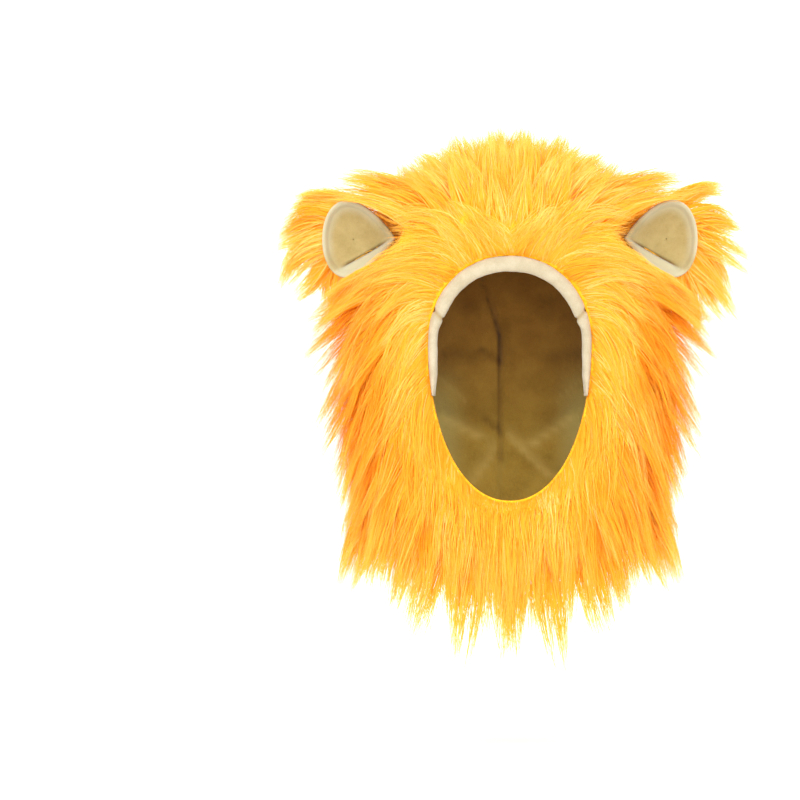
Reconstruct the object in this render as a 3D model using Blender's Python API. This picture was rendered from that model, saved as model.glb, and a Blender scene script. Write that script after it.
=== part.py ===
"""A lion hood: a long-fur mane over a plush lining, with a plush band at the face and two ears.

Metres, +Z up. The origin is the crown seat, the highest point of the hollow, where the head
carries the hood. The face opening looks along -Y, and +X is to the right as seen from the front.
Every soft wall is a stack of rings that runs from the face opening, over the head, to the hem.
"""

import math
import random
from collections import namedtuple

import bmesh
import bpy
from mathutils import Vector
from mathutils.bvhtree import BVHTree

# The face opening is an egg, measured at the edge of the fabric
OPENING_HALF_WIDTH = 0.0805
OPENING_ABOVE_WIDEST = 0.088
OPENING_BELOW_WIDEST = 0.1555
OPENING_WIDEST_DROP = 0.157

# The hollow for the head, measured from the crown seat
HOLLOW_FRONT = 0.105
HOLLOW_BACK = 0.125
HOLLOW_HALF_WIDTH = 0.112
BIB_HEIGHT = 0.0695
HOOD_DROP = OPENING_WIDEST_DROP + OPENING_BELOW_WIDEST + BIB_HEIGHT

# The cloth walls
LINING_WALL = 0.002
SEAM_GAP = 0.0003
UNDERFUR_TOP = 0.034
UNDERFUR_SIDE = 0.024
UNDERFUR_CHIN = 0.014
UNDERFUR_AT_EDGE = 0.005
UNDERFUR_AT_EAR = 0.006
UNDERFUR_EDGE_RINGS = 1.6
EAR_POCKET_WIDTH = 0.075

# The locks of the mane. The lengths and lifts of the rows vary by the shares given here.
LOCKS_AROUND = 24
LOCK_THICKNESS = 0.009
LEAST_LOCK_THICKNESS = 0.0008
LOCK_RISE_PER_PITCH = 0.45
LOCK_DROOP_TOP = 0.12
LOCK_DROOP_SIDE = 0.30
LOCK_LENGTH_RANGE = (0.86, 1.12)
LOCK_LIFT_RANGE = (0.88, 1.10)
LOCK_SWAY = 0.16
CHIN_THINNING_FROM = 50.0
CHIN_THINNING_TO = 90.0

# The plush band at the face
TRIM_WIDTH = 0.016
TRIM_PROUD = 0.0015
TRIM_GAP = 0.0005
TRIM_SECTIONS = 40
TRIM_SIDES = 8

# The ears, each a shallow dish on a short stem. The root is placed from the side of the hollow.
EAR_LENGTH = 0.078
EAR_HALF_HEIGHT = 0.0396
EAR_ROOT_OUT = 0.004
EAR_ROOT_FORWARD = 0.022
EAR_ROOT_DROP = 0.048
EAR_SWEEP_DEG = 15.0
EAR_DISH = 0.012
EAR_MIDDLE = 0.62
EAR_FACE_WALL = 0.003
EAR_BACK_WALL = 0.014
EAR_STEM_HALF_HEIGHT = 0.006
EAR_SEAT_GAP = 0.0018
EAR_COLUMNS = 24
EAR_RINGS = (0.10, 0.40, 0.66, 0.84, 0.95)
EAR_RIM = 0.99
EAR_REAR_LOCK_RING = 0.80
EAR_REAR_RINGS = (0.10, 0.45)

# The flap along an ear's lower edge, below a crease that falls away from the root
EAR_CREASE_DROP = 0.004
EAR_CREASE_SLOPE = 0.48
EAR_FLAP_RISE = 0.007
EAR_FLAP_FADE = 0.006
EAR_FLAP_START_FADE = 0.020
EAR_FLAP_END = 0.80
EAR_FLAP_END_FADE = 0.015

# The locks round an ear, and the room that they and the ear take among the mane's locks
EAR_LOCK_LENGTH = 0.050
EAR_LOCK_THICKNESS = 0.004
EAR_LOCK_LEAN_OUT = 0.50
EAR_LOCK_LEAN_DOWN = 0.20
EAR_LOCK_SAG = 0.15
EAR_LOCK_LENGTH_RANGE = (0.85, 1.15)
EAR_LOCK_HOLLOW = 0.35
EAR_LOCKS_FROM = 0.60
EAR_LOCKS_FADE = 0.30
EAR_RIM_LOCK_SWEEP = 0.15
EAR_REAR_LOCK_SWEEP = 0.60
EAR_ROOM_INSIDE = 0.018
EAR_ROOM_MARGIN = 0.054
EAR_ROOM_HEIGHT_MARGIN = 0.038
EAR_ROOM_HALF_DEPTH = 0.060
EAR_ROOM_FORWARD = 0.020
EAR_ROOM_DROP = 0.012

RING_STEP = 0.01
DOWN = Vector((0.0, 0.0, -1.0))
UP = -DOWN

# One row for each ring after the face edge. over_y and over_drop place its highest or rearmost
# point, as shares of HOLLOW_FRONT (before the crown) or HOLLOW_BACK (behind it) and of HOOD_DROP.
# chin_y is a share of HOLLOW_FRONT, and bib the share of the way from the opening to the hem.
# half_width is a share of HOLLOW_HALF_WIDTH, and widest the share of the way up from the chin.
# side_back and side_lift move the ring's sides, as shares of HOLLOW_FRONT and HOOD_DROP.
Ring = namedtuple("Ring", "over_y over_drop chin_y bib half_width widest side_back side_lift square")
RINGS = (
    Ring(-0.90, 0.115, 1.01, 0.10, 0.840, 0.61, 0.19, 0.000, 2.15),
    Ring(-0.72, 0.055, 1.01, 0.19, 0.925, 0.58, 0.21, 0.000, 2.25),
    Ring(-0.40, 0.014, 1.00, 0.28, 0.975, 0.56, 0.19, 0.000, 2.35),
    Ring(0.00, 0.000, 0.99, 0.37, 1.000, 0.55, 0.11, 0.000, 2.40),
    Ring(0.42, 0.020, 0.98, 0.45, 1.000, 0.53, 0.04, 0.000, 2.35),
    Ring(0.74, 0.095, 0.97, 0.53, 1.000, 0.52, 0.00, 0.000, 2.30),
    Ring(0.93, 0.210, 0.96, 0.61, 0.990, 0.50, 0.00, 0.000, 2.20),
    Ring(1.00, 0.340, 0.95, 0.68, 0.980, 0.50, 0.00, 0.010, 2.10),
    Ring(0.99, 0.480, 0.94, 0.76, 0.970, 0.50, 0.00, 0.020, 2.10),
    Ring(0.94, 0.640, 0.93, 0.84, 0.980, 0.50, 0.00, 0.045, 2.10),
    Ring(0.91, 0.810, 0.92, 0.92, 1.000, 0.50, 0.00, 0.070, 2.10),
    Ring(0.97, 1.000, 0.92, 1.00, 1.050, 0.50, 0.00, 0.100, 2.10),
)
FACE_OVER_Y = -0.95
FACE_SIDE_BACK = 0.17
FACE_SQUARE = 2.10
LAST_RING = len(RINGS)

# One row for each fold of the lining: where it lies round the ring, in degrees from the top, how
# wide it is, the rings that it runs between, and how far it stands into the hollow.
Fold = namedtuple("Fold", "around width ring_from ring_to depth")
FOLDS = (
    Fold(-8.0, 9.0, 6.0, 11.6, 0.0045),
    Fold(-128.0, 12.0, 0.8, 7.5, 0.0040),
    Fold(128.0, 12.0, 0.8, 7.5, 0.0040),
    Fold(-84.0, 13.0, 2.0, 8.0, 0.0035),
    Fold(84.0, 13.0, 2.0, 8.0, 0.0035),
)

# One row for each row of locks: the ring of its roots, then the pile's length and its lift off the
# backing, in degrees, over the top, at the sides and at the chin.
LockRow = namedtuple("LockRow", "ring top side chin lift_top lift_side lift_chin")
LOCK_ROWS = (
    LockRow(0.12, 0.044, 0.066, 0.058, 32, 26, 20),
    LockRow(1.00, 0.050, 0.074, 0.064, 31, 29, 22),
    LockRow(2.00, 0.056, 0.078, 0.068, 29, 29, 24),
    LockRow(3.00, 0.060, 0.080, 0.072, 28, 30, 25),
    LockRow(4.00, 0.066, 0.082, 0.074, 28, 30, 25),
    LockRow(5.00, 0.074, 0.082, 0.076, 28, 30, 24),
    LockRow(6.00, 0.080, 0.083, 0.078, 27, 30, 24),
    LockRow(7.00, 0.082, 0.084, 0.079, 26, 29, 23),
    LockRow(8.10, 0.082, 0.084, 0.080, 24, 28, 22),
    LockRow(9.25, 0.082, 0.082, 0.081, 22, 26, 20),
    LockRow(10.45, 0.080, 0.078, 0.084, 19, 22, 18),
    LockRow(11.65, 0.082, 0.068, 0.086, 13, 13, 11),
)
# How far gravity turns the pile down from the direction that leads away from the face
GRAVITY_SHARE_TOP = 0.05
GRAVITY_SHARE_SIDE = 0.72
GRAVITY_SHARE_CHIN = 0.85

# Points of one lock and of the hollow between two locks: the share of the pile's length at which
# each lies, and how far it is raised, as a share of the lock's thickness. The underside is a share
# of the way to the next row.
LockShape = namedtuple("LockShape", "back back_raise tip tip_raise under under_raise")
LOCK = LockShape(0.42, 0.5, 1.00, 0.0, 0.55, -0.5)
BETWEEN_LOCKS = LockShape(0.26, 0.0, 0.46, -0.8, 0.45, -1.0)
FLAT_SHARES = (0.0, 0.3, 0.6, 0.8)
ROOM_STEPS = 10

# The band's width round the opening, in degrees from the top, as a share of TRIM_WIDTH. Each end
# stops below the widest line, where the fur meets the lining.
TrimWidth = namedtuple("TrimWidth", "around share")
TRIM_WIDTHS = (
    TrimWidth(0.0, 1.00),
    TrimWidth(30.0, 0.96),
    TrimWidth(58.0, 0.98),
    TrimWidth(68.0, 0.92),
    TrimWidth(76.0, 0.60),
    TrimWidth(90.0, 0.55),
    TrimWidth(100.0, 0.38),
    TrimWidth(108.0, 0.12),
)
TRIM_END = TRIM_WIDTHS[-1].around


def ease(value):
    """0 up to 0, 1 from 1, and a smooth climb between."""
    value = min(1.0, max(0.0, value))
    return value * value * (3.0 - 2.0 * value)


def bump(distance, width):
    """1 at no distance, and a smooth fall to 0 at the given width."""
    return ease(1.0 - abs(distance) / width)


def angle_between(first, second):
    """The signed turn from one direction round the ring to another, in degrees."""
    return (first - second + 180.0) % 360.0 - 180.0


def row_between(values, position):
    """A Catmull-Rom value at a position along a list of equal rows of numbers."""
    here = min(int(position), len(values) - 2)
    part = position - here
    before, start = values[max(here - 1, 0)], values[here]
    end, after = values[here + 1], values[min(here + 2, len(values) - 1)]
    return [
        0.5 * (2 * b + (c - a) * part + (2 * a - 5 * b + 4 * c - d) * part**2
               + (3 * b - a - 3 * c + d) * part**3)
        for a, b, c, d in zip(before, start, end, after)
    ]


def ring_sizes():
    """Every ring in metres, with the face edge, which follows the opening's own sizes, first."""
    opening_height = OPENING_ABOVE_WIDEST + OPENING_BELOW_WIDEST
    opening_bottom = -OPENING_WIDEST_DROP - OPENING_BELOW_WIDEST
    sizes = [(
        FACE_OVER_Y * HOLLOW_FRONT, OPENING_ABOVE_WIDEST - OPENING_WIDEST_DROP,
        -HOLLOW_FRONT, opening_bottom, OPENING_HALF_WIDTH,
        OPENING_BELOW_WIDEST / opening_height, FACE_SIDE_BACK * HOLLOW_FRONT, 0.0, FACE_SQUARE,
    )]
    for ring in RINGS:
        depth = HOLLOW_FRONT if ring.over_y < 0 else HOLLOW_BACK
        chin_z = opening_bottom + ring.bib * (-HOOD_DROP - opening_bottom)
        sizes.append((
            ring.over_y * depth, -ring.over_drop * HOOD_DROP, -ring.chin_y * HOLLOW_FRONT, chin_z,
            ring.half_width * HOLLOW_HALF_WIDTH, ring.widest, ring.side_back * HOLLOW_FRONT,
            ring.side_lift * HOOD_DROP, ring.square,
        ))
    return sizes


RING_SIZES = ring_sizes()


def rounded(value, square):
    """A sine or cosine made squarer, as on a superellipse."""
    return math.copysign(abs(value) ** (2.0 / square), value)


def plain_point(around, ring):
    """A point of the hollow without its folds. around is in degrees from the top, towards +X."""
    over_y, over_z, chin_y, chin_z, half_width, widest, side_back, side_lift, square = (
        row_between(RING_SIZES, ring)
    )
    turn = math.radians(around)
    sideways = rounded(math.sin(turn), square)
    upward = rounded(math.cos(turn), square)
    share = widest + upward * ((1.0 - widest) if upward > 0 else widest)
    side = math.sin(turn) ** 2
    return Vector((
        half_width * sideways,
        chin_y + share * (over_y - chin_y) + side_back * side,
        chin_z + share * (over_z - chin_z) + side_lift * side,
    ))


def outward(around, ring):
    """The outward direction of the hollow's surface."""
    low = max(ring - RING_STEP, 0.0)
    high = min(ring + RING_STEP, LAST_RING)
    along = plain_point(around, high) - plain_point(around, low)
    across = plain_point(around + 1.0, ring) - plain_point(around - 1.0, ring)
    return across.cross(along).normalized()


def away_from_face(around, ring):
    """The direction along the cloth that leads away from the face opening."""
    low = max(ring - RING_STEP, 0.0)
    high = min(ring + RING_STEP, LAST_RING)
    return (plain_point(around, high) - plain_point(around, low)).normalized()


def fold_depth(around, ring):
    """How far the lining's folds stand into the hollow here."""
    depth = 0.0
    for fold in FOLDS:
        middle = (fold.ring_from + fold.ring_to) / 2.0
        reach = (fold.ring_to - fold.ring_from) / 2.0
        across = bump(angle_between(around, fold.around), fold.width)
        depth += fold.depth * across * bump(ring - middle, reach)
    return depth


def cloth_point(around, ring, offset):
    """A point of the cloth, at a distance out from the face that looks into the hollow."""
    inward = fold_depth(around, ring)
    return plain_point(around, ring) + outward(around, ring) * (offset - inward)


def columns(count):
    """Equal steps round a ring, in degrees."""
    return [360.0 * index / count for index in range(count)]


def solid_from_rings(name, rings, joined, material):
    """One closed mesh over a stack of equal rings, alike on its two halves. joined closes the
    last ring onto the first, and otherwise each end ring is filled."""
    mesh = bmesh.new()
    rows = [[mesh.verts.new(point) for point in ring] for ring in rings]
    size = len(rows[0])
    pairs = list(zip(rows, rows[1:]))
    if joined:
        pairs.append((rows[-1], rows[0]))
    for lower, upper in pairs:
        for index in range(size):
            after = (index + 1) % size
            a, b, c, d = lower[index], lower[after], upper[after], upper[index]
            if index < size // 2:
                mesh.faces.new((a, b, c))
                mesh.faces.new((a, c, d))
            else:
                mesh.faces.new((a, b, d))
                mesh.faces.new((b, c, d))
    if not joined:
        for row in (rows[0], rows[-1]):
            centre = mesh.verts.new(sum((vert.co for vert in row), Vector()) / size)
            for index in range(size):
                mesh.faces.new((row[index], row[(index + 1) % size], centre))
    bmesh.ops.recalc_face_normals(mesh, faces=mesh.faces)
    data = bpy.data.meshes.new(name)
    mesh.to_mesh(data)
    mesh.free()
    data.shade_smooth()
    data.set_sharp_from_angle(angle=math.radians(40))
    piece = bpy.data.objects.new(name, data)
    bpy.context.scene.collection.objects.link(piece)
    data.materials.append(material)
    return piece


def cloth_material(name, colour, roughness):
    """A plain cloth finish."""
    material = bpy.data.materials.new(name)
    material.use_nodes = True
    shader = material.node_tree.nodes["Principled BSDF"]
    shader.inputs["Base Color"].default_value = (*colour, 1.0)
    shader.inputs["Roughness"].default_value = roughness
    shader.inputs["Metallic"].default_value = 0.0
    return material


def underfur_here(around, ring):
    """The thickness of the dense fur under the locks, thinner at the face edge and by the ears."""
    full = three_way(around, UNDERFUR_TOP, UNDERFUR_SIDE, UNDERFUR_CHIN)
    point = plain_point(around, ring)
    by_ear = min((point - ear_root(side)).length for side in (-1, 1))
    full += (UNDERFUR_AT_EAR - full) * bump(by_ear, EAR_POCKET_WIDTH)
    return UNDERFUR_AT_EDGE + (full - UNDERFUR_AT_EDGE) * ease(ring / UNDERFUR_EDGE_RINGS)


def build_lining(material):
    """The lining: a thin wall round the hollow, open at the face and at the neck."""
    angles = columns(2 * LOCKS_AROUND)
    inside = [
        [cloth_point(angle, ring, 0.0) for angle in angles] for ring in range(LAST_RING + 1)
    ]
    outside = [
        [cloth_point(angle, ring, LINING_WALL) for angle in angles]
        for ring in range(LAST_RING, -1, -1)
    ]
    return solid_from_rings("lining", inside + outside, True, material)


def three_way(around, top, side, chin):
    """A value between those over the top, at the sides and at the chin."""
    upward = math.cos(math.radians(around))
    share = upward if upward > 0 else upward * upward
    return side * (1.0 - share) + (top if upward > 0 else chin) * share


def fur_flow(around, ring):
    """The direction in which the pile lies on the backing."""
    normal = outward(around, ring)
    gravity = three_way(around, GRAVITY_SHARE_TOP, GRAVITY_SHARE_SIDE, GRAVITY_SHARE_CHIN)
    lean = away_from_face(around, ring) * (1.0 - gravity) + DOWN * gravity
    return (lean - normal * lean.dot(normal)).normalized()


def ear_root(side):
    """Where an ear meets the fur. side is 1 at +X and -1 at -X."""
    return Vector((side * (HOLLOW_HALF_WIDTH + EAR_ROOT_OUT), -EAR_ROOT_FORWARD, -EAR_ROOT_DROP))


def in_ear_room(point):
    """Whether a point lies in the egg-shaped room that an ear with its fur takes."""
    outer_end = EAR_LENGTH + EAR_LOCK_LENGTH + EAR_ROOM_MARGIN
    half_length = (outer_end + EAR_ROOM_INSIDE) / 2.0
    half_height = EAR_HALF_HEIGHT + EAR_ROOM_HEIGHT_MARGIN
    for side in (-1, 1):
        root, along, forward = ear_frame(side)
        away = point - root - along * (outer_end - half_length)
        away -= forward * EAR_ROOM_FORWARD + DOWN * EAR_ROOM_DROP
        reach = (away.dot(along) / half_length) ** 2 + (away.z / half_height) ** 2
        if reach + (away.dot(forward) / EAR_ROOM_HALF_DEPTH) ** 2 < 1.0:
            return True
    return False


def place_lock(flat, shaped, strength):
    """The lock's points, laid flat as far as the ears need it."""
    for step in range(ROOM_STEPS + 1):
        share = strength * (1.0 - step / ROOM_STEPS)
        placed = [a.lerp(b, share) for a, b in zip(flat, shaped)]
        if not any(in_ear_room(point) for point in placed):
            return placed
    return flat


def chin_strength(around, row):
    """Every second row of locks fades out under the chin, where the rings lie close together."""
    if row % 2 == 0 or row == len(LOCK_ROWS) - 1:
        return 1.0
    from_chin = abs(angle_between(around, 180.0))
    return ease((from_chin - CHIN_THINNING_FROM) / (CHIN_THINNING_TO - CHIN_THINNING_FROM))


def lock_points(row, column, around, next_ring):
    """The root, back, tip and underside of one lock, or of the hollow between two locks."""
    fur = LOCK_ROWS[row]
    mirrored = min(column, 2 * LOCKS_AROUND - column)
    hand = 0 if mirrored in (0, LOCKS_AROUND) else (1 if column < LOCKS_AROUND else -1)
    draw = random.Random(100 * row + mirrored)
    root, following = backing_point(around, fur.ring), backing_point(around, next_ring)
    normal, flow = outward(around, fur.ring), fur_flow(around, fur.ring)
    length = three_way(around, fur.top, fur.side, fur.chin) * draw.uniform(*LOCK_LENGTH_RANGE)
    lift = math.radians(three_way(around, fur.lift_top, fur.lift_side, fur.lift_chin))
    lift *= draw.uniform(*LOCK_LIFT_RANGE)
    sway = flow.cross(normal) * draw.uniform(-LOCK_SWAY, LOCK_SWAY) * hand
    way = (flow * math.cos(lift) + normal * math.sin(lift) + sway).normalized()
    droop = three_way(around, LOCK_DROOP_TOP, LOCK_DROOP_SIDE, LOCK_DROOP_SIDE)
    hang = DOWN * (droop * length * math.sin(lift))
    pitch = (following - root).length
    rise = normal * min(LOCK_THICKNESS, LOCK_RISE_PER_PITCH * pitch * math.sin(lift) + LEAST_LOCK_THICKNESS)
    shape = LOCK if (column + row) % 2 == 0 else BETWEEN_LOCKS
    shaped = [
        root,
        root + way * (length * shape.back) + hang * shape.back**2 + rise * shape.back_raise,
        root + way * (length * shape.tip) + hang * shape.tip**2 + rise * shape.tip_raise,
        root + way * (pitch * shape.under) + rise * shape.under_raise,
    ]
    flat = [root.lerp(following, share) for share in FLAT_SHARES]
    return place_lock(flat, shaped, chin_strength(around, row))


def lock_rings(row, next_ring):
    """The four rings of one row of locks: roots, backs, tips and undersides."""
    locks = [
        lock_points(row, column, around, next_ring)
        for column, around in enumerate(columns(2 * LOCKS_AROUND))
    ]
    return [list(ring) for ring in zip(*locks)]


def backing_point(around, ring):
    """A point on the outside of the mane's backing."""
    return cloth_point(around, ring, LINING_WALL + SEAM_GAP + underfur_here(around, ring))


def build_mane(material):
    """The mane: a backing round the lining, with rows of locks that run on from it."""
    angles = columns(2 * LOCKS_AROUND)
    inner = LINING_WALL + SEAM_GAP
    rings = [[backing_point(angle, 0) for angle in angles]]
    for row, fur in enumerate(LOCK_ROWS):
        last = row == len(LOCK_ROWS) - 1
        rings += lock_rings(row, LAST_RING if last else LOCK_ROWS[row + 1].ring)
    rings += [
        [cloth_point(angle, ring, inner) for angle in angles]
        for ring in range(LAST_RING, -1, -1)
    ]
    return solid_from_rings("mane", rings, True, material)


def trim_share(around):
    """The band's width here as a share of its greatest width."""
    away = abs(around)
    for first, second in zip(TRIM_WIDTHS, TRIM_WIDTHS[1:]):
        if away <= second.around:
            part = (away - first.around) / (second.around - first.around)
            return first.share + (second.share - first.share) * ease(part)
    return TRIM_WIDTHS[-1].share


def build_trim(material):
    """The face band: a padded roll that covers the cloth's edge round the upper opening."""
    depth = (LINING_WALL + SEAM_GAP + UNDERFUR_AT_EDGE) / 2.0 + TRIM_PROUD
    sections = []
    for index in range(TRIM_SECTIONS + 1):
        around = TRIM_END * (2.0 * index / TRIM_SECTIONS - 1.0)
        normal = outward(around, 0)
        inward = -away_from_face(around, 0)
        half = trim_share(around) * TRIM_WIDTH / 2.0
        edge = plain_point(around, 0) + normal * (depth - TRIM_PROUD)
        centre = edge + inward * (half + TRIM_GAP)
        sections.append([
            centre + inward * half * math.cos(turn) + normal * depth * math.sin(turn)
            for turn in [2.0 * math.pi * (side + 0.5) / TRIM_SIDES for side in range(TRIM_SIDES)]
        ])
    return solid_from_rings("face_trim", sections, False, material)


def ear_frame(side):
    """The root of an ear and its outward and forward directions. Its upward one is plain UP."""
    sweep = math.radians(EAR_SWEEP_DEG)
    along = Vector((side * math.cos(sweep), math.sin(sweep), 0.0))
    forward = Vector((side * math.sin(sweep), -math.cos(sweep), 0.0))
    return ear_root(side), along, forward


def ear_outline(turn):
    """A point of the ear's outline, outward and upward of its root. turn runs from the root over
    the top."""
    reach = math.sin(turn / 2.0)
    tear_peak = 2.0 / (3.0 * math.sqrt(3.0))
    out = EAR_LENGTH * reach * reach
    return out, EAR_HALF_HEIGHT * reach * reach * math.cos(turn / 2.0) / tear_peak


def ear_surface(out, up):
    """How far forward the ear's face lies: a dish with a raised flap along its lower edge."""
    middle = EAR_MIDDLE * EAR_LENGTH
    half_length = middle if out < middle else EAR_LENGTH - middle
    from_middle = ((out - middle) / half_length) ** 2 + (up / EAR_HALF_HEIGHT) ** 2
    dish = -EAR_DISH * (1.0 - min(from_middle, 1.0))
    below = ease((-EAR_CREASE_DROP - EAR_CREASE_SLOPE * out - up) / EAR_FLAP_FADE)
    ends = ease(out / EAR_FLAP_START_FADE)
    ends *= ease((EAR_LENGTH * EAR_FLAP_END - out) / EAR_FLAP_END_FADE)
    return dish + EAR_FLAP_RISE * below * ends


def ear_point(side, out, up, back):
    """A point of the ear in the hood's frame."""
    root, along, forward = ear_frame(side)
    return root + along * out + UP * up + forward * (ear_surface(out, up) - back)


def ear_turns():
    """The places round the ear's outline."""
    return [2.0 * math.pi * (index + 0.5) / EAR_COLUMNS for index in range(EAR_COLUMNS)]


def ear_ring(side, share, back):
    """A ring of the ear at a share of the way from its middle to its outline."""
    middle = EAR_MIDDLE * EAR_LENGTH
    points = []
    for turn in ear_turns():
        out, up = ear_outline(turn)
        points.append(ear_point(side, middle + (out - middle) * share, up * share, back))
    return points


def build_ear_face(side, name, material):
    """The ear's plush face: a thin dish with a rounded rim."""
    front = [ear_ring(side, share, 0.0) for share in EAR_RINGS]
    rim = [ear_ring(side, EAR_RIM, EAR_FACE_WALL / 2.0)]
    rear = [ear_ring(side, share, EAR_FACE_WALL) for share in reversed(EAR_RINGS)]
    return solid_from_rings(name, front + rim + rear, False, material)


def ear_locks(side, share, back, rearward):
    """One row of locks round the ear: roots, tips and undersides."""
    root, along, forward = ear_frame(side)
    middle = root + along * (EAR_MIDDLE * EAR_LENGTH)
    base = ear_ring(side, share, back)
    lower = ear_ring(side, share, back + EAR_LOCK_THICKNESS)
    lean = along * EAR_LOCK_LEAN_OUT + DOWN * EAR_LOCK_LEAN_DOWN - forward * rearward
    tips = []
    for index, (turn, top, bottom) in enumerate(zip(ear_turns(), base, lower)):
        away = top - middle
        away = (away - forward * away.dot(forward)).normalized()
        length = EAR_LOCK_LENGTH * random.Random(500 + index).uniform(*EAR_LOCK_LENGTH_RANGE)
        length *= 1.0 if index % 2 == 0 else EAR_LOCK_HOLLOW
        length *= ease((math.sin(turn / 2.0) - EAR_LOCKS_FROM) / EAR_LOCKS_FADE)
        sag = DOWN * (EAR_LOCK_SAG * length**2 / EAR_LOCK_LENGTH)
        tips.append(top.lerp(bottom, 0.5) + (away + lean).normalized() * length + sag)
    return [base, tips, lower]


def build_ear_back(side, name, material, mane_surface):
    """The ear's fur back: a shell behind the face, ringed by locks, on a stem that ends just
    clear of the mane."""
    root, along, forward = ear_frame(side)
    gap = EAR_FACE_WALL + SEAM_GAP
    rear = [ear_ring(side, share, gap + EAR_BACK_WALL) for share in EAR_REAR_RINGS]
    behind = ear_locks(side, EAR_REAR_LOCK_RING, gap + 1.5 * EAR_LOCK_THICKNESS, EAR_REAR_LOCK_SWEEP)
    edge = ear_locks(side, EAR_RIM, gap, EAR_RIM_LOCK_SWEEP)
    front = [ear_ring(side, share, gap) for share in reversed(EAR_RINGS)]
    stem = behind[::-1] + edge[::-1]
    for index, ring in enumerate(stem):
        depth = gap + EAR_BACK_WALL * (1.0 - index / (len(stem) - 1))
        for column, height in ((0, 1), (1, 1), (-2, -1), (-1, -1)):
            seat = root + UP * (height * EAR_STEM_HALF_HEIGHT) - forward * depth
            if column in (0, -1):
                seat = mane_surface.ray_cast(seat + along * EAR_LENGTH, -along)[0]
                seat += along * EAR_SEAT_GAP
            ring[column] = seat
    return solid_from_rings(name, rear + stem + front, False, material)


def main():
    for old in list(bpy.data.objects):
        bpy.data.objects.remove(old)
    build_lining(cloth_material("olive_plush", (0.23, 0.12, 0.02), 0.9))
    mane = build_mane(cloth_material("mane_fur", (0.99, 0.56, 0.05), 0.75))
    build_trim(cloth_material("cream_plush", (0.85, 0.75, 0.52), 0.9))
    ear_plush = cloth_material("ear_plush", (0.65, 0.48, 0.19), 0.9)
    ear_fur = cloth_material("ear_fur", (0.99, 0.56, 0.05), 0.75)
    mane_surface = BVHTree.FromObject(mane, bpy.context.evaluated_depsgraph_get())
    for side, word in ((-1, "left"), (1, "right")):
        build_ear_face(side, f"ear_face_{word}", ear_plush)
        build_ear_back(side, f"ear_back_{word}", ear_fur, mane_surface)


main()
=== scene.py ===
import math
from collections import namedtuple

import bpy
import numpy as np
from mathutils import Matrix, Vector
from mathutils.bvhtree import BVHTree


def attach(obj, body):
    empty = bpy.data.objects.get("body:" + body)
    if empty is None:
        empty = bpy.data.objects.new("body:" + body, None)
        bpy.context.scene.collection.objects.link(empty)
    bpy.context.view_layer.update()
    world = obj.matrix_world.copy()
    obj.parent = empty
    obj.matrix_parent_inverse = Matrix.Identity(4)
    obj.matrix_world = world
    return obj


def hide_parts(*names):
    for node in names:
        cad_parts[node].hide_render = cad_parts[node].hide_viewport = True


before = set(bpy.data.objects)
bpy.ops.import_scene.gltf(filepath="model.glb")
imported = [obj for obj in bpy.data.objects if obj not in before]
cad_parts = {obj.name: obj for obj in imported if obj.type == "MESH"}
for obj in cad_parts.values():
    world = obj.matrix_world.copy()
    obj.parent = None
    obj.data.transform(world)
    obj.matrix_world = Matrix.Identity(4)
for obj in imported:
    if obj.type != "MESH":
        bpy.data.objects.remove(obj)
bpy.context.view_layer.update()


# The studio: one long lens straight in front of the face opening, a white room and soft lamps.
# The hood floats where a head would carry it, above a pale floor that is plain and without edge.

PHOTO_WIDTH_PX = 800
HOOD_MIDDLE_PX = 509.7
CROWN_PX = 188
METRES_PER_PX = 0.001
FACE_DEPTH = -0.08
LENS_DISTANCE = 4.0
SENSOR_MM = 36.0
FLOOR_HEIGHT = -0.56
FLOOR_HALF_WIDTH = 14.0

scene = bpy.context.scene
scene.view_settings.view_transform = "Standard"
scene.view_settings.look = "None"

lens = bpy.data.cameras.new("front_camera")
lens.sensor_width = SENSOR_MM
lens.lens = SENSOR_MM * LENS_DISTANCE / (PHOTO_WIDTH_PX * METRES_PER_PX)
lens.clip_end = 30.0
camera = bpy.data.objects.new("front_camera", lens)
scene.collection.objects.link(camera)
aside = (PHOTO_WIDTH_PX / 2 - HOOD_MIDDLE_PX) * METRES_PER_PX
lens_height = (CROWN_PX - PHOTO_WIDTH_PX / 2) * METRES_PER_PX
camera.location = (0.0, FACE_DEPTH - LENS_DISTANCE, lens_height)
camera.rotation_euler = (math.radians(90.0), 0.0, -math.atan2(aside, LENS_DISTANCE))
scene.camera = camera

room = bpy.data.worlds.new("white_room")
room.use_nodes = True
room.node_tree.nodes["Background"].inputs["Color"].default_value = (1.0, 1.0, 1.0, 1.0)
room.node_tree.nodes["Background"].inputs["Strength"].default_value = 1.6
scene.world = room


def soft_sun(name, way, spread, strength):
    """A broad even light that falls along a direction."""
    light = bpy.data.lights.new(name, "SUN")
    light.angle = math.radians(spread)
    light.energy = strength
    lamp = bpy.data.objects.new(name, light)
    scene.collection.objects.link(lamp)
    lamp.rotation_euler = Vector(way).to_track_quat("-Z", "Y").to_euler()
    return lamp


soft_sun("key_sun", (0.15, 1.0, -0.75), 60.0, 1.5)
soft_sun("fill_sun", (-0.05, 1.0, 0.02), 28.0, 1.9)


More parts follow.
